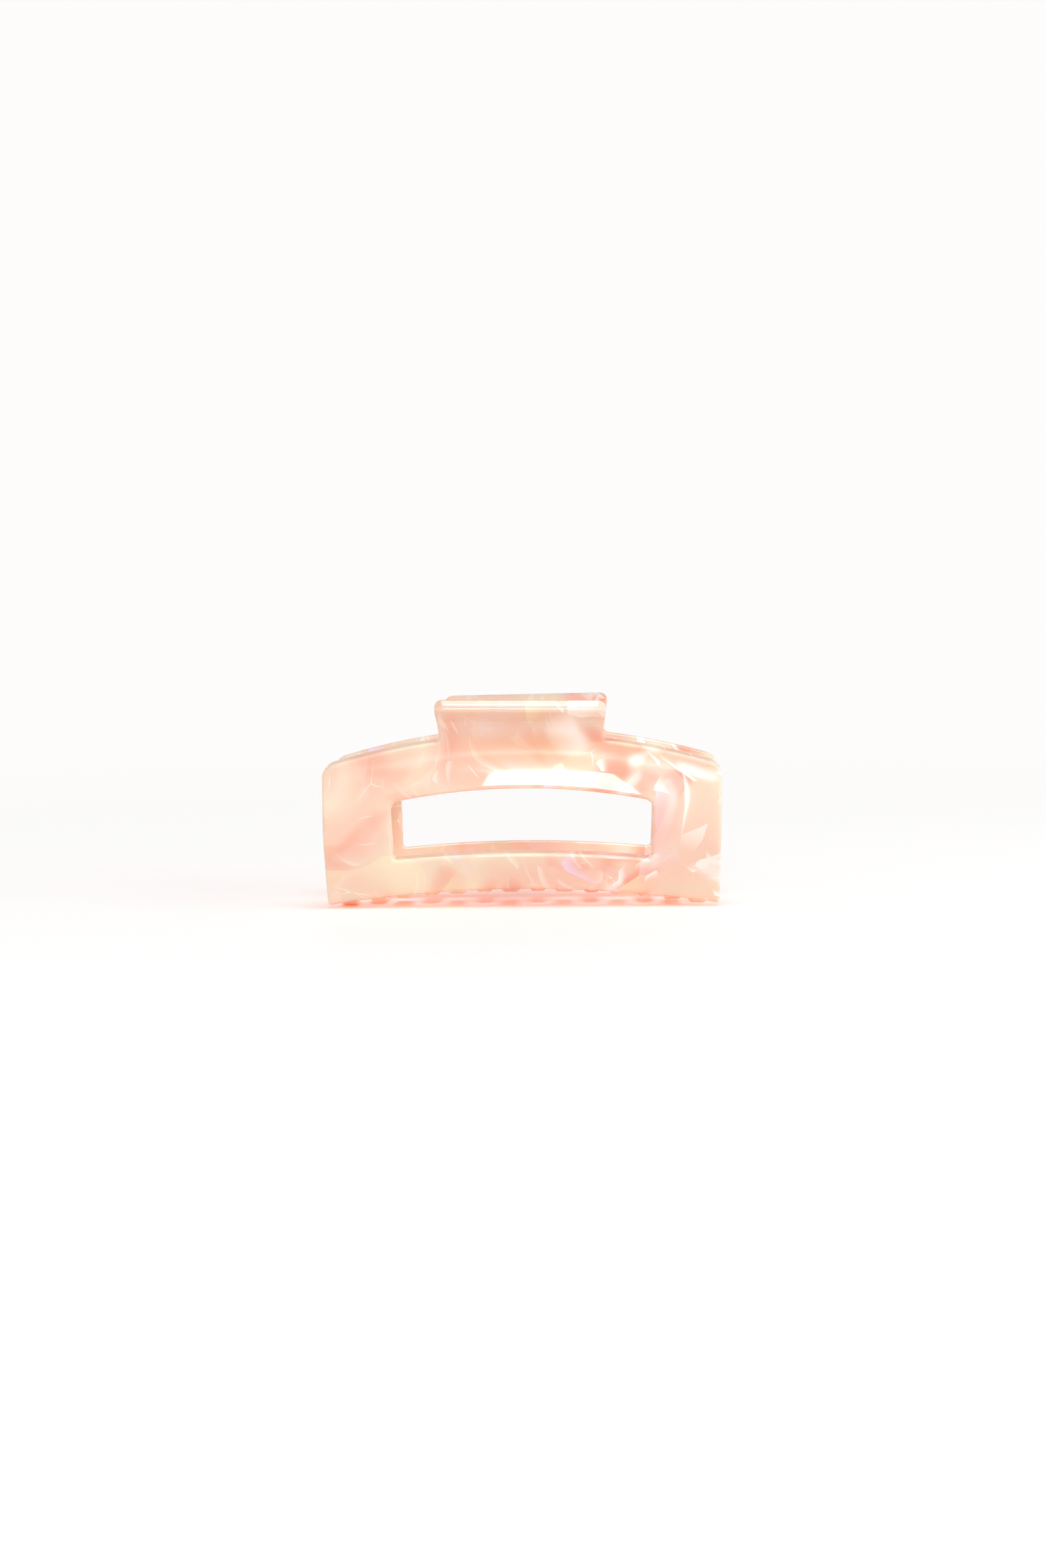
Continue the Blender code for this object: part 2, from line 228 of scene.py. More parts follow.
def rounded(corners, steps):
    """A closed outline through corners (x, run, radius), each rounded with an arc."""
    points = []
    count = len(corners)
    for index, (x, run, radius) in enumerate(corners):
        corner = Vector((x, run))
        before = (Vector(corners[index - 1][:2]) - corner).normalized()
        after = (Vector(corners[(index + 1) % count][:2]) - corner).normalized()
        half = before.angle(after) / 2
        reach = radius / math.tan(half)
        centre = corner + (before + after).normalized() * radius / math.sin(half)
        start = corner + before * reach - centre
        end = corner + after * reach - centre
        for step in range(steps + 1):
            spoke = start.lerp(end, step / steps).normalized() * radius
            points.append(centre + spoke)
    return points


def flat_outlines(steps):
    """The jaw's outer edge and its window on the flat sheet."""
    foot = PLATE_HALF_WIDTH - PLATE_FOOT_NARROWER
    outer = [
        (-foot, RUN_FOOT, FOOT_CORNER),
        (foot, RUN_FOOT, FOOT_CORNER),
        (PLATE_HALF_WIDTH, RUN_SHOULDER, SHOULDER_CORNER),
        (NECK_HALF_WIDTH, RUN_SHOULDER, NECK_CORNER),
        (GRIP_HALF_WIDTH, RUN_TOP - GRIP_EDGE_SKEW, GRIP_CORNER),
        (-GRIP_HALF_WIDTH, RUN_TOP + GRIP_EDGE_SKEW, GRIP_CORNER),
        (-NECK_HALF_WIDTH, RUN_SHOULDER, NECK_CORNER),
        (-PLATE_HALF_WIDTH, RUN_SHOULDER, SHOULDER_CORNER),
    ]
    low = run_at(WINDOW_BOTTOM_HEIGHT)
    high = run_at(WINDOW_TOP_HEIGHT)
    window = [
        (-WINDOW_HALF_WIDTH_LOW, low, WINDOW_CORNER_LOW),
        (-WINDOW_HALF_WIDTH_HIGH, high, WINDOW_CORNER_HIGH),
        (WINDOW_HALF_WIDTH_HIGH, high, WINDOW_CORNER_HIGH),
        (WINDOW_HALF_WIDTH_LOW, low, WINDOW_CORNER_LOW),
    ]
    return rounded(outer, steps), rounded(window, steps)


def flat_sheet(corner_steps, edge_steps):
    """The jaw before bending: a flat sheet, X across and Y along the run, with rounded edges."""
    curve = bpy.data.curves.new("flat_sheet", "CURVE")
    curve.dimensions = "2D"
    curve.fill_mode = "BOTH"
    curve.extrude = SHEET / 2 - EDGE_ROUND
    curve.bevel_depth = EDGE_ROUND
    curve.bevel_resolution = edge_steps
    curve.offset = -EDGE_ROUND
    for outline in flat_outlines(corner_steps):
        spline = curve.splines.new("POLY")
        spline.points.add(len(outline) - 1)
        spline.use_cyclic_u = True
        for point, place in zip(spline.points, outline):
            point.co = (place.x, place.y, 0.0, 1.0)
    holder = bpy.data.objects.new("flat_sheet", curve)
    bpy.context.scene.collection.objects.link(holder)
    evaluated = holder.evaluated_get(bpy.context.evaluated_depsgraph_get())
    mesh = bpy.data.meshes.new_from_object(evaluated)
    bpy.data.objects.remove(holder)
    return mesh


def cut_across(sheet, axis, values):
    """Adds edges across the flat sheet at these values of one axis, so that it can bend there."""
    normal = Vector((0, 0, 0))
    normal[axis] = 1
    for value in values:
        whole = sheet.verts[:] + sheet.edges[:] + sheet.faces[:]
        place = normal * value
        bmesh.ops.bisect_plane(sheet, geom=whole, dist=1e-5, plane_co=place, plane_no=normal)


def spread(low, high, count):
    """Count + 1 values from low to high."""
    return [low + (high - low) * step / count for step in range(count + 1)]


def bent_sheet(corner_steps, edge_steps, columns, rows):
    """The bent jaw plate, without its teeth. Rows gives the strips in its curl, arc, bend and grip."""
    sheet = bmesh.new()
    sheet.from_mesh(flat_sheet(corner_steps, edge_steps))
    bmesh.ops.remove_doubles(sheet, verts=sheet.verts, dist=1e-4)
    bmesh.ops.dissolve_limit(sheet, angle_limit=1e-3, verts=sheet.verts, edges=sheet.edges)
    cut_across(sheet, 0, spread(-PLATE_HALF_WIDTH, PLATE_HALF_WIDTH, columns)[1:-1])
    stretches = (RUN_FOOT, RUN_CURL, RUN_NECK, RUN_GRIP, RUN_TOP)
    for low, high, count in zip(stretches, stretches[1:], rows):
        cut_across(sheet, 1, spread(low, high, count)[1:])
    bmesh.ops.triangulate(sheet, faces=sheet.faces)
    for vertex in sheet.verts:
        vertex.co = bent(*vertex.co)
    bmesh.ops.recalc_face_normals(sheet, faces=sheet.faces)
    return sheet


# ---------------------------------------------------------------- teeth


def tooth_x(index):
    """Where a tooth is. They sit a quarter of their pitch off centre, so that the two rows pass."""
    return (index - (TOOTH_COUNT - 1) / 2) * TOOTH_PITCH - TOOTH_PITCH / 4


def tooth_section(share):
    """Half width, half thickness, depth and height of a tooth's middle, from root 0 to tip 1."""
    depth = TOOTH_ROOT_DEPTH + (TOOTH_TIP_DEPTH - TOOTH_ROOT_DEPTH) * share
    slope = max(depth - TOOTH_FLAT_DEPTH, 0.0) / (TOOTH_ROOT_DEPTH - TOOTH_FLAT_DEPTH)
    thick = TOOTH_THICK_ROOT + (TOOTH_THICK_TIP - TOOTH_THICK_ROOT) * share
    width = TOOTH_WIDTH_ROOT + (TOOTH_WIDTH_TIP - TOOTH_WIDTH_ROOT) * share
    lowest = arch_drop(tooth_x(0), RUN_FOOT)
    height = lowest + thick / 2 + TOOTH_ROOT_RISE * slope * slope
    return width / 2, thick / 2, depth, height


def bridge(shape, rings):
    """Faces between neighbouring rings of points, and over the two ends."""
    for ring, after in zip(rings, rings[1:]):
        for index in range(len(ring)):
            nearby = (index + 1) % len(ring)
            shape.faces.new((ring[index], ring[nearby], after[nearby], after[index]))
    shape.faces.new(rings[0])
    shape.faces.new(rings[-1])


def add_tooth(teeth, x, stations, tip_steps, corner_steps):
    """A tapered finger with a round end, flat below from TOOTH_FLAT_DEPTH to its tip."""
    length = TOOTH_ROOT_DEPTH - TOOTH_TIP_DEPTH
    tip_start = 1 - TIP_ROUND / length
    tip = []
    for angle in spread(0.0, math.pi / 2, tip_steps)[1:]:
        tip.append(tip_start + (1 - tip_start) * math.sin(angle))
    rings = []
    for share in spread(0.0, tip_start, stations) + tip:
        half_width, half_thick, depth, height = tooth_section(share)
        past = max(0.0, (share - tip_start) / (1 - tip_start))
        shrink = TIP_END_SHARE + (1 - TIP_END_SHARE) * math.sqrt(max(1 - past * past, 0.0))
        low = height - half_thick
        half_width *= shrink
        half_thick *= 0.5 + 0.5 * shrink
        height = low + half_thick + (1 - shrink) * TIP_END_LIFT
        radius = min(TOOTH_EDGE_ROUND, half_width * 0.8, half_thick * 0.8)
        ring = []
        for side_x, side_z in ((1, -1), (1, 1), (-1, 1), (-1, -1)):
            start = math.atan2(side_z, side_x) - math.pi / 4
            for step in range(corner_steps + 1):
                angle = start + math.pi / 2 * step / corner_steps
                across = side_x * (half_width - radius) + radius * math.cos(angle)
                up = side_z * (half_thick - radius) + radius * math.sin(angle)
                z = height + up - arch_drop(x, RUN_FOOT)
                ring.append(teeth.verts.new(Vector((x + across, -depth, z)) * MM))
        rings.append(ring)
    bridge(teeth, rings)


# ---------------------------------------------------------------- mesh helpers


def new_object(name, mesh):
    made = bpy.data.objects.new(name, mesh)
    bpy.context.scene.collection.objects.link(made)
    return made


def mesh_of(shape, name):
    bmesh.ops.recalc_face_normals(shape, faces=shape.faces)
    mesh = bpy.data.meshes.new(name)
    shape.to_mesh(mesh)
    shape.free()
    return mesh


def shade(mesh, degrees=40):
    mesh.shade_smooth()
    mesh.set_sharp_from_angle(angle=math.radians(degrees))


def applied(made):
    """The object's mesh with its modifiers applied; the object is removed."""
    evaluated = made.evaluated_get(bpy.context.evaluated_depsgraph_get())
    mesh = bpy.data.meshes.new_from_object(evaluated)
    bpy.data.objects.remove(made)
    return mesh


def combined(mesh, other, operation):
    """A new mesh: the first one joined with the second, or cut by it."""
    holder = new_object("holder", mesh)
    tool = new_object("tool", other)
    boolean = holder.modifiers.new("combine", "BOOLEAN")
    boolean.operation = operation
    boolean.object = tool
    result = applied(holder)
    bpy.data.objects.remove(tool)
    return result


def turned_half(mesh):
    """A copy of a front-jaw mesh for the rear jaw: half a turn about Z."""
    copy = mesh.copy()
    copy.transform(Matrix.Rotation(math.pi, 4, "Z"))
    return copy


# ---------------------------------------------------------------- node materials


class Nodes:
    """Small helper that adds shader nodes and links them. An input may be a value or a socket."""

    def __init__(self, name):
        self.material = bpy.data.materials.new(name)
        self.material.use_nodes = True
        self.tree = self.material.node_tree
        self.shader = self.tree.nodes["Principled BSDF"]
        self.output = self.tree.nodes["Material Output"]

    def put(self, socket, value):
        if isinstance(value, bpy.types.NodeSocket):
            self.tree.links.new(value, socket)
        else:
            socket.default_value = value

    def add(self, kind, inputs=None, **settings):
        node = self.tree.nodes.new(kind)
        for key, value in settings.items():
            setattr(node, key, value)
        for key, value in (inputs or {}).items():
            self.put(node.inputs[key], value)
        return node

    def math(self, operation, *values):
        inputs = dict(enumerate(values))
        return self.add("ShaderNodeMath", inputs, operation=operation).outputs[0]

    def vector(self, operation, *values):
        node = self.add("ShaderNodeVectorMath", dict(enumerate(values)), operation=operation)
        return node.outputs["Value" if operation in ("DOT_PRODUCT", "LENGTH", "DISTANCE") else "Vector"]

    def between(self, value, low, high):
        """0 below low, 1 above high, smooth in between."""
        limits = {"Value": value, "From Min": low, "From Max": high}
        node = self.add("ShaderNodeMapRange", limits, interpolation_type="SMOOTHSTEP")
        return node.outputs["Result"]

    def mix(self, share, first, second):
        """Two colours mixed. A Mix node keeps its colours in the inputs and output numbered here."""
        node = self.add("ShaderNodeMix", data_type="RGBA")
        for index, value in ((0, share), (6, first), (7, second)):
            self.put(node.inputs[index], value)
        return node.outputs[2]

    def noise(self, place, scale, detail=2.0, roughness=0.5):
        settings = {"Vector": place, "Scale": scale, "Detail": detail, "Roughness": roughness}
        return self.add("ShaderNodeTexNoise", settings)

    def let_light_through(self, tint):
        """Lamps shine through the shader and take on a tint, as they do through clear plastic."""
        kind = self.add("ShaderNodeLightPath").outputs["Is Shadow Ray"]
        clear = self.add("ShaderNodeBsdfTransparent", {"Color": tint}).outputs[0]
        both = self.add("ShaderNodeMixShader")
        for socket, value in zip(both.inputs, (kind, self.shader.outputs[0], clear)):
            self.put(socket, value)
        self.put(self.output.inputs["Surface"], both.outputs[0])

    def set(self, **values):
        """Sets the Principled shader's inputs by their names in small letters."""
        for key, value in values.items():
            self.put(self.shader.inputs[key.replace("_", " ").title().replace("Ior", "IOR")], value)


def colour(red, green, blue):
    """A linear colour from display values of 0 to 255."""
    def linear(value):
        value /= 255
        return value / 12.92 if value <= 0.04045 else ((value + 0.055) / 1.055) ** 2.4
    return (linear(red), linear(green), linear(blue), 1.0)


# The materials' colours: the marbled acetate, the lugs' milky acetate, the steel and the table.
CREAM = colour(228, 214, 192)
PEACH = colour(231, 200, 180)
CORAL = colour(231, 159, 133)
ROSE_SHEET = colour(231, 208, 201)
STRAW_SHEET = colour(235, 226, 194)
LAVENDER = colour(232, 215, 240)
PEARL = colour(255, 250, 246)
THREAD = colour(255, 248, 240)
# Painted shade for the lugs and the spring seen through the neck.
SPRING_SHADE_PAINT = colour(226, 186, 146)
GLOW = colour(247, 166, 98)
MILKY_LIGHT = colour(248, 216, 194)
MILKY_DARK = colour(246, 196, 174)
MILKY_GLOW = colour(236, 178, 156)
STEEL_DARK = (0.66, 0.64, 0.6, 1.0)
STEEL_LIGHT = (0.74, 0.71, 0.65, 1.0)
PAPER_DARK = (0.94, 0.936, 0.934, 1.0)
PAPER_LIGHT = (0.96, 0.955, 0.952, 1.0)

# Steps between the patterns of flakes of different seeds, in millimetres.
SEED_STEP = (17.3, 5.1, 9.7)


def flakes(n, place, cell, seed, share, low, high):
    """Flakes in cells this many millimetres wide, of which a share shine, on one side.

    Gives how brightly a point shines, the height of its tilted flake, and a random number for
    each flake. The shine starts where the tilted height is low and is full where it is high.
    """
    moved = n.vector("ADD", place, tuple(seed * step for step in SEED_STEP))
    cells = n.add("ShaderNodeTexVoronoi", {"Vector": moved, "Scale": 1 / cell, "Randomness": 1.0})
    inside = n.vector("SUBTRACT", moved, cells.outputs["Position"])
    tilt = n.vector("SUBTRACT", cells.outputs["Color"], (0.5, 0.5, 0.5))
    slope = n.vector("DOT_PRODUCT", inside, n.vector("NORMALIZE", tilt))
    slope = n.math("MULTIPLY", slope, 1.6 / cell)
    parts = n.add("ShaderNodeSeparateColor", {"Color": cells.outputs["Color"]})
    chosen = n.math("LESS_THAN", parts.outputs["Red"], share)
    lit = n.math("MULTIPLY", n.between(slope, low, high), chosen)
    return lit, slope, parts.outputs["Green"]


def leaning(n, place, degrees, stretch):
    """The place turned in the jaw's face and squeezed, so that flakes lie long and slanted."""
    settings = {"Vector": place, "Rotation": (0.0, math.radians(degrees), 0.0)}
    turned = n.add("ShaderNodeMapping", settings)
    return n.vector("MULTIPLY", turned.outputs["Vector"], (1.0, 1.0, 1 / stretch))


def scaled(n, value, gain, least):
    """The value times a gain, plus its least result."""
    return n.math("ADD", n.math("MULTIPLY", value, gain), least)


def acetate_clouds(n, flow, crowded):
    """The soft ground under the flakes: cream and peach clouds, coral patches and tinted sheets."""
    clouds = n.noise(flow, 0.05, 1.5, 0.45).outputs["Fac"]
    pinks = n.noise(n.vector("ADD", flow, (31.0, 7.0, 12.0)), 0.075, 1.5, 0.5).outputs["Fac"]
    ground = n.mix(n.between(clouds, 0.38, 0.62), CREAM, PEACH)
    blush = n.math("MULTIPLY", n.between(pinks, 0.48, 0.64), scaled(n, crowded, 0.45, 0.5))
    ground = n.mix(blush, ground, CORAL)

    sheets, slope, kind = flakes(n, flow, cell=13.0, seed=1, share=0.45, low=-0.1, high=0.8)
    tint = n.mix(n.between(kind, 0.45, 0.55), ROSE_SHEET, STRAW_SHEET)
    return n.mix(n.math("MULTIPLY", sheets, 0.7), ground, tint), slope


def acetate_pearl(n, flow, crowded):
    """How pearly a point is: slanted shards, slivers and haze. Gives the height of the shards too."""
    slanted = leaning(n, flow, -35, 1.5)
    shard, slope, _ = flakes(n, slanted, cell=5.4, seed=2, share=0.5, low=0.0, high=0.8)
    slanted = leaning(n, flow, 30, 2.6)
    sliver, _, _ = flakes(n, slanted, cell=3.0, seed=3, share=0.22, low=0.1, high=0.7)
    shard = n.math("MULTIPLY", shard, scaled(n, crowded, 0.88, 0.12))
    sliver = n.math("MULTIPLY", sliver, scaled(n, crowded, 0.6, 0.4))
    pearl = n.math("MAXIMUM", n.math("MULTIPLY", shard, 0.95), n.math("MULTIPLY", sliver, 0.85))
    haze = n.noise(n.vector("ADD", flow, (9.0, 60.0, 25.0)), 0.11, 0.5).outputs["Fac"]
    haze = n.math("MULTIPLY", n.between(haze, 0.52, 0.68), scaled(n, crowded, 0.7, 0.08))
    return n.math("MAXIMUM", pearl, haze), n.math("MULTIPLY", slope, shard)


def acetate_threads(n, place, flow):
    """Thin bright lines along the rims of some large flakes."""
    rims = n.add(
        "ShaderNodeTexVoronoi", {"Vector": flow, "Scale": 1 / 9.5}, feature="DISTANCE_TO_EDGE"
    )
    thin = n.math("SUBTRACT", 1.0, n.between(rims.outputs["Distance"], 0.0, 0.014))
    gaps = n.between(n.noise(place, 0.13, 0.0).outputs["Fac"], 0.6, 0.72)
    return n.math("MULTIPLY", n.math("MULTIPLY", thin, gaps), 0.8)


def band(n, value, start, full, fade, end):
    """1 between full and fade, and 0 below start and above end."""
    return n.math("SUBTRACT", n.between(value, start, full), n.between(value, fade, end))


def marbled_acetate():
    """Cellulose acetate: peach and pink clouds, with pearl, lavender and straw flakes under a gloss.

    The pattern is laid out in millimetres, stretched through the jaw's depth. Its pearl gets
    denser towards +X.
    """
    n = Nodes("marbled_acetate")
    at = n.add("ShaderNodeTexCoord").outputs["Object"]
    place = n.vector("MULTIPLY", at, (1000.0, 450.0, 1000.0))
    parts = n.add("ShaderNodeSeparateXYZ", {"Vector": place}).outputs
    warp = n.noise(place, 0.05, 0.0).outputs["Color"]
    warp = n.vector("MULTIPLY", n.vector("SUBTRACT", warp, (0.5, 0.5, 0.5)), (22.0, 22.0, 22.0))
    flow = n.vector("ADD", place, warp)
    crowd = n.noise(n.vector("ADD", place, (3.0, 0.0, 40.0)), 0.028, 0.0).outputs["Fac"]
    crowded = n.between(n.math("ADD", crowd, n.math("MULTIPLY", parts["X"], 0.011)), 0.60, 0.90)

    base, sheet_slope = acetate_clouds(n, flow, crowded)
    slanted = leaning(n, flow, 50, 1.9)
    veil, _, _ = flakes(n, slanted, cell=7.5, seed=5, share=0.26, low=0.0, high=0.85)
    base = n.mix(n.math("MULTIPLY", veil, 0.75), base, LAVENDER)
    pearl, shard_height = acetate_pearl(n, flow, crowded)
    base = n.mix(pearl, base, PEARL)

    # A soft darker patch painted on each neck: painted shade where the lugs and the spring would show
    # through a real one.
    beside = n.between(n.math("ABSOLUTE", parts["X"]), 6.0, 17.0)
    neck_shade = band(n, parts["Z"], 31.0, 35.5, 37.5, 41.0)
    neck_shade = n.math("MULTIPLY", neck_shade, n.math("SUBTRACT", 1.0, beside))
    base = n.mix(n.math("MULTIPLY", neck_shade, 0.6), base, SPRING_SHADE_PAINT)
    base = n.mix(acetate_threads(n, place, flow), base, THREAD)

    tilt = n.math("ADD", n.math("MULTIPLY", sheet_slope, 0.3), shard_height)
    bump = n.add("ShaderNodeBump", {"Strength": 0.3, "Distance": 0.0008, "Height": tilt})
    shine = n.math("MAXIMUM", pearl, n.math("MULTIPLY", veil, 0.6))
    satin = band(n, parts["Z"], 30.5, 32.5, 42.0, 44.0)
    n.set(
        base_color=base,
        roughness=n.math("SUBTRACT", 0.42, n.math("MULTIPLY", shine, 0.14)),
        metallic=n.math("MULTIPLY", shine, 0.2),
        ior=1.49,
        transmission_weight=0.22,
        subsurface_weight=n.math("SUBTRACT", 0.75, n.math("MULTIPLY", pearl, 0.55)),
        subsurface_radius=(1.0, 0.62, 0.5),
        subsurface_scale=0.0045,
        coat_weight=1.0,
        coat_roughness=scaled(n, satin, 0.27, 0.03),
        coat_ior=1.5,
        normal=bump.outputs["Normal"],
    )
    n.let_light_through(n.mix(0.9, base, GLOW))
    return n.material


def lug_acetate():
    """Plain milky acetate, a little uneven where it was sawn and glued."""
    n = Nodes("lug_acetate")
    at = n.add("ShaderNodeTexCoord").outputs["Object"]
    clouds = n.noise(at, 160.0, 3.0).outputs["Fac"]
    grain = n.noise(at, 2600.0, 2.0).outputs["Fac"]
    bump = n.add("ShaderNodeBump", {"Strength": 0.15, "Distance": 0.0002, "Height": grain})
    n.set(
        base_color=n.mix(n.between(clouds, 0.35, 0.65), MILKY_LIGHT, MILKY_DARK),
        roughness=scaled(n, grain, 0.12, 0.22),
        subsurface_weight=0.5,
        subsurface_radius=(1.0, 0.6, 0.5),
        subsurface_scale=0.002,
        coat_weight=0.4,
        normal=bump.outputs["Normal"],
    )
    n.let_light_through(MILKY_GLOW)
    return n.material


def spring_steel():
    """Bright drawn steel, with fine scratches along the wire and a faint warm tint."""
    n = Nodes("spring_steel")
    at = n.add("ShaderNodeTexCoord").outputs["Object"]
    fine = n.noise(n.vector("MULTIPLY", at, (1.0, 5.0, 5.0)), 900.0, 3.0).outputs["Fac"]
    patches = n.noise(at, 420.0, 2.0).outputs["Fac"]
    bump = n.add("ShaderNodeBump", {"Strength": 0.2, "Distance": 0.00005, "Height": fine})
    n.set(
        base_color=n.mix(n.between(patches, 0.4, 0.65), STEEL_DARK, STEEL_LIGHT),
        metallic=1.0,
        roughness=scaled(n, fine, 0.2, 0.16),
        normal=bump.outputs["Normal"],
    )
    return n.material


# ---------------------------------------------------------------- pieces


def dress(made, body, slot, paint, *nodes):
    """Paints a piece, sets its body, and hides the CAD nodes that it stands for; the slot is not used.
    """
    made.data.materials.clear()
    made.data.materials.append(paint)
    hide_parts(*nodes)
    if body:
        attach(made, body)


def jaw_mesh():
    """One finished jaw: the bent plate with rounded edges, and its teeth."""
    sheet = bent_sheet(corner_steps=8, edge_steps=3, columns=60, rows=(4, 28, 20, 4))
    plate = mesh_of(sheet, "plate")
    teeth = bmesh.new()
    for index in range(TOOTH_COUNT):
        add_tooth(teeth, tooth_x(index), stations=12, tip_steps=6, corner_steps=4)
    mesh = combined(plate, mesh_of(teeth, "teeth"), "UNION")
    shade(mesh)
    return mesh


def make_jaws(paint):
    """The front jaw, and the same shape turned half a turn for the rear one."""
    front = jaw_mesh()
    rear = turned_half(front)
    for side, mesh in (("front", front), ("rear", rear)):
        made = new_object(f"{side}_jaw_acetate", mesh)
        dress(made, f"{side}_half", "marbled_acetate", paint, f"{side}_jaw")


def lug_outline():
    """A lug in side view, as (y, height above the pin): an eye round the pin, a foot on the sheet."""
    points = []
    for height in spread(LUG_FOOT_TOP, LUG_FOOT_BOTTOM, 12):
        run = run_at(height + PIVOT_HEIGHT + arch_drop(LUG_MIDDLE_X, RUN_NECK))
        depth, _, heading = sheet_point(run)
        points.append((-(depth - (SHEET / 2 - LUG_SUNK) / math.sin(heading)), height))
    for degrees in spread(-100, 65, 24):
        angle = math.radians(degrees)
        points.append((LUG_EYE_RADIUS * math.cos(angle), LUG_EYE_RADIUS * math.sin(angle)))
    return points


def lug_mesh(start):
    """A lug on the front jaw from x = start outwards, with softened edges and the pin's hole."""
    end = start + math.copysign(LUG_THICKNESS, start)
    shape = bmesh.new()
    near = [shape.verts.new(Vector((start, y, z + PIVOT_HEIGHT)) * MM) for y, z in lug_outline()]
    face = shape.faces.new(near)
    moved = bmesh.ops.extrude_face_region(shape, geom=[face])
    far = [item for item in moved["geom"] if isinstance(item, bmesh.types.BMVert)]
    bmesh.ops.translate(shape, verts=far, vec=Vector((end - start, 0, 0)) * MM)
    body = new_object("lug", mesh_of(shape, "lug"))
    bevel = body.modifiers.new("softened", "BEVEL")
    bevel.width = LUG_EDGE_ROUND * MM
    bevel.segments = 3
    bevel.limit_method = "ANGLE"
    bevel.angle_limit = math.radians(50)
    hole = bmesh.new()
    across = Matrix.Rotation(math.pi / 2, 4, "Y")
    middle = Matrix.Translation(Vector(((start + end) / 2 * MM, 0, HINGE.z)))
    bmesh.ops.create_cone(
        hole,
        cap_ends=True,
        segments=48,
        radius1=PIN_HOLE_RADIUS * MM,
        radius2=PIN_HOLE_RADIUS * MM,
        depth=6 * MM,
        matrix=middle @ across,
    )
    mesh = combined(applied(body), mesh_of(hole, "hole"), "DIFFERENCE")
    shade(mesh)
    return mesh


def make_lugs(paint):
    """Two lugs on each jaw: one near the pin's middle, and one just beyond the other jaw's near one."""
    inner = lug_mesh(LUG_INNER_START)
    outer = lug_mesh(-(LUG_INNER_START + LUG_THICKNESS + LUG_GAP))
    for side, near, far, mesh in (
        ("front", "right", "left", (inner, outer)),
        ("rear", "left", "right", (turned_half(inner), turned_half(outer))),
    ):
        for place, shape in zip((near, far), mesh):
            made = new_object(f"{side}_lug_{place}_acetate", shape)
            dress(made, f"{side}_half", "lug_acetate", paint, f"{side}_lug_{place}")


def make_pin(paint):
    """The pin with its two domed, pressed heads."""
    outer = LUG_INNER_START + 2 * LUG_THICKNESS + 2 * LUG_GAP
    half = [
        (outer - 0.001, PIN_RADIUS),
        (outer, PIN_HEAD_RADIUS - PIN_HEAD_EDGE),
        (outer + 0.1, PIN_HEAD_RADIUS),
    ]
    for angle in spread(0.0, 1.35, 8):
        reach = PIN_HEAD_LENGTH * (0.35 + 0.65 * math.sin(angle))
        half.append((outer + reach, PIN_HEAD_RADIUS * math.cos(angle)))
    stations = [(-x, radius) for x, radius in reversed(half)] + half
    shape = bmesh.new()
    rings = []
    for x, radius in stations:
        ring = []
        for step in range(PIN_SIDES):
            angle = 2 * math.pi * step / PIN_SIDES
            place = Vector((x, radius * math.cos(angle), radius * math.sin(angle))) * MM
            ring.append(shape.verts.new(place + HINGE))
        rings.append(ring)
    bridge(shape, rings)
    mesh = mesh_of(shape, "pin")
    shade(mesh, 50)
    dress(new_object("hinge_pin_steel", mesh), "front_half", "spring_steel", paint, "hinge_pin")


def spring_path():
    """The wire's middle line: rear leg, coil round the pin, front leg, with rounded leg roots."""
    rise = Vector((0, math.cos(LEG_RISE), math.sin(LEG_RISE)))
    first = math.pi / 2 + LEG_RISE
    last = math.pi / 2 - LEG_RISE + 2 * math.pi * COIL_TURNS
    steps = COIL_STEPS_PER_TURN * COIL_TURNS
    coil = []
    for step in range(steps + 1):
        share = step / steps
        angle = first + (last - first) * share
        x = COIL_HALF_LENGTH * (1 - 2 * share)
        coil.append(Vector((x, COIL_RADIUS * math.cos(angle), COIL_RADIUS * math.sin(angle))))
    leg = spread(LEG_LENGTH, 0.0, 12)[:-1]
    rear = [coil[0] + rise * reach for reach in leg]
    front = [coil[-1] + rise * Vector((1, -1, 1)) * reach for reach in reversed(leg)]
    return rear + coil + front


def make_spring(paint):
    """The torsion spring: a coil round the pin, with one leg towards each jaw."""
    curve = bpy.data.curves.new("spring", "CURVE")
    curve.dimensions = "3D"
    curve.bevel_depth = WIRE_RADIUS * MM
    curve.bevel_resolution = 4
    curve.use_fill_caps = True
    path = spring_path()
    spline = curve.splines.new("POLY")
    spline.points.add(len(path) - 1)
    for point, place in zip(spline.points, path):
        point.co = (*(place * MM + HINGE), 1.0)
    mesh = applied(new_object("spring", curve))
    shade(mesh)
    made = new_object("torsion_spring_steel", mesh)
    dress(made, None, "spring_steel", paint, "torsion_spring")
    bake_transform(made)


# ---------------------------------------------------------------- stage, light and camera


def white_paper():
    """White paper that takes on the room's white far from the clip, so that the table has no edge."""
    n = Nodes("white_paper")
    place = n.add("ShaderNodeTexCoord").outputs["Object"]
    grain = n.noise(place, 900.0, 2.0).outputs["Fac"]
    n.set(base_color=n.mix(grain, PAPER_DARK, PAPER_LIGHT), roughness=0.6)
    far = n.between(n.vector("LENGTH", place), FADE_START, FADE_END)
    room = n.add("ShaderNodeEmission", {"Color": ROOM_WHITE, "Strength": WHITE}).outputs[0]
    both = n.add("ShaderNodeMixShader")
    for socket, value in zip(both.inputs, (far, n.shader.outputs[0], room)):
        n.put(socket, value)
    n.put(n.output.inputs["Surface"], both.outputs[0])
    return n.material


def make_stage():
    """A wide white table."""
    table = bmesh.new()
    bmesh.ops.create_circle(table, cap_ends=True, segments=64, radius=TABLE_RADIUS)
    made = new_object("white_table", mesh_of(table, "table"))
    made.data.materials.append(white_paper())


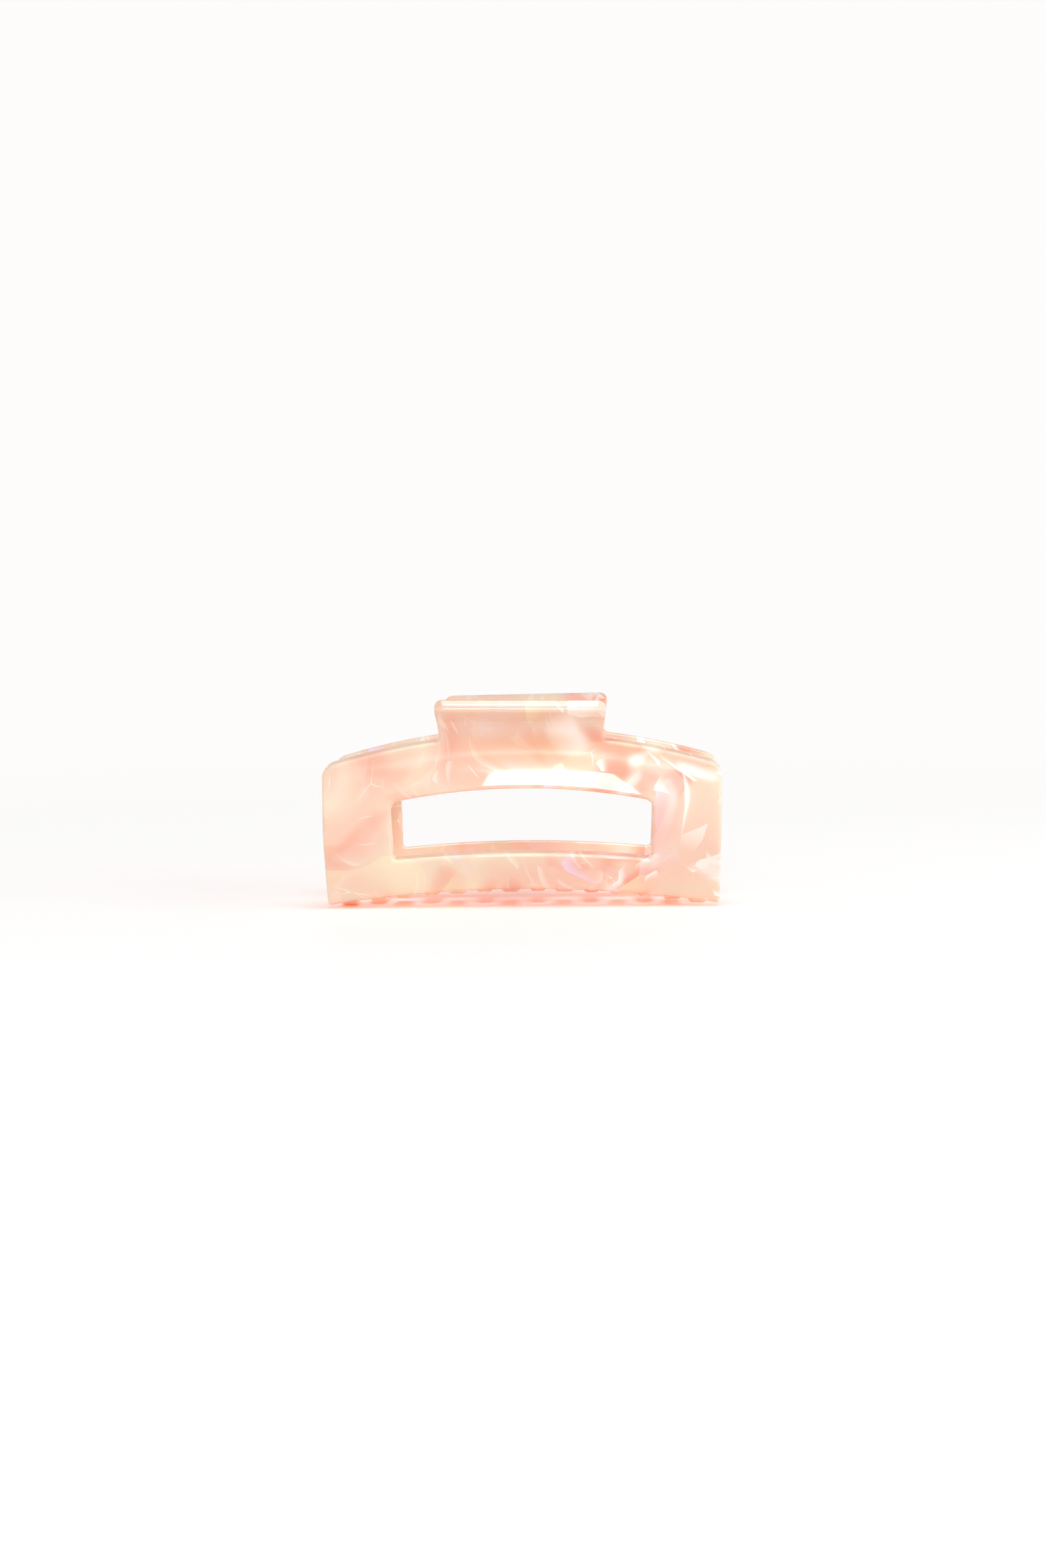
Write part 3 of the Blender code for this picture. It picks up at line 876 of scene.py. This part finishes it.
def area_light(name, place, aim, size, power):
    """A rectangular lamp at a place, facing the aim."""
    light = bpy.data.lights.new(name, "AREA")
    light.shape = "RECTANGLE"
    light.size, light.size_y = size
    light.energy = power
    made = bpy.data.objects.new(name, light)
    made.location = place
    made.rotation_euler = (Vector(place) - Vector(aim)).to_track_quat("Z", "Y").to_euler()
    bpy.context.scene.collection.objects.link(made)


def make_world():
    """A white room, as bright as the far table up to well above the horizon, and dimmer overhead."""
    world = bpy.data.worlds.new("studio")
    world.use_nodes = True
    tree = world.node_tree
    place = tree.nodes.new("ShaderNodeTexCoord")
    parts = tree.nodes.new("ShaderNodeSeparateXYZ")
    fall = tree.nodes.new("ShaderNodeMapRange")
    fall.interpolation_type = "SMOOTHSTEP"
    limits = {"From Min": 0.3, "From Max": 0.75, "To Min": WHITE, "To Max": CEILING}
    for name, value in limits.items():
        fall.inputs[name].default_value = value
    tree.links.new(place.outputs["Generated"], parts.inputs["Vector"])
    tree.links.new(parts.outputs["Z"], fall.inputs["Value"])
    tree.links.new(fall.outputs["Result"], tree.nodes["Background"].inputs["Strength"])
    tree.nodes["Background"].inputs["Color"].default_value = ROOM_WHITE
    bpy.context.scene.world = world


def make_lights():
    """The room, a wide light overhead, and three softboxes on the camera's side of the clip."""
    make_world()
    sun = bpy.data.lights.new("overhead", "SUN")
    sun.angle = math.radians(SUN_WIDTH)
    sun.energy = SUN_POWER
    made = bpy.data.objects.new("overhead", sun)
    made.rotation_euler = Vector(SUN_FROM).to_track_quat("Z", "Y").to_euler()
    bpy.context.scene.collection.objects.link(made)
    for name, place, size, power in SOFTBOXES:
        area_light(name, place, CLIP_MIDDLE, size, power)


def make_camera():
    """The camera, nearly level with the table and in front of the clip."""
    toward = Vector((
        math.sin(CAMERA_AZIMUTH) * math.cos(CAMERA_ELEVATION),
        -math.cos(CAMERA_AZIMUTH) * math.cos(CAMERA_ELEVATION),
        math.sin(CAMERA_ELEVATION),
    ))
    right = Vector((0, 0, 1)).cross(toward).normalized()
    up = toward.cross(right)
    turned = Matrix((right, up, toward)).transposed() @ Matrix.Rotation(CAMERA_ROLL, 3, "Z")
    camera = bpy.data.cameras.new("camera")
    camera.lens = CAMERA_LENS
    camera.clip_start = 0.05
    made = bpy.data.objects.new("camera", camera)
    place = Vector(CAMERA_AIM) * MM + toward * CAMERA_DISTANCE * MM
    made.matrix_world = Matrix.Translation(place) @ turned.to_4x4()
    bpy.context.scene.collection.objects.link(made)
    bpy.context.scene.camera = made


make_camera()
make_stage()
make_lights()
bpy.context.scene.view_settings.view_transform = "Standard"
steel = spring_steel()
make_jaws(marbled_acetate())
make_lugs(lug_acetate())
make_pin(steel)
make_spring(steel)
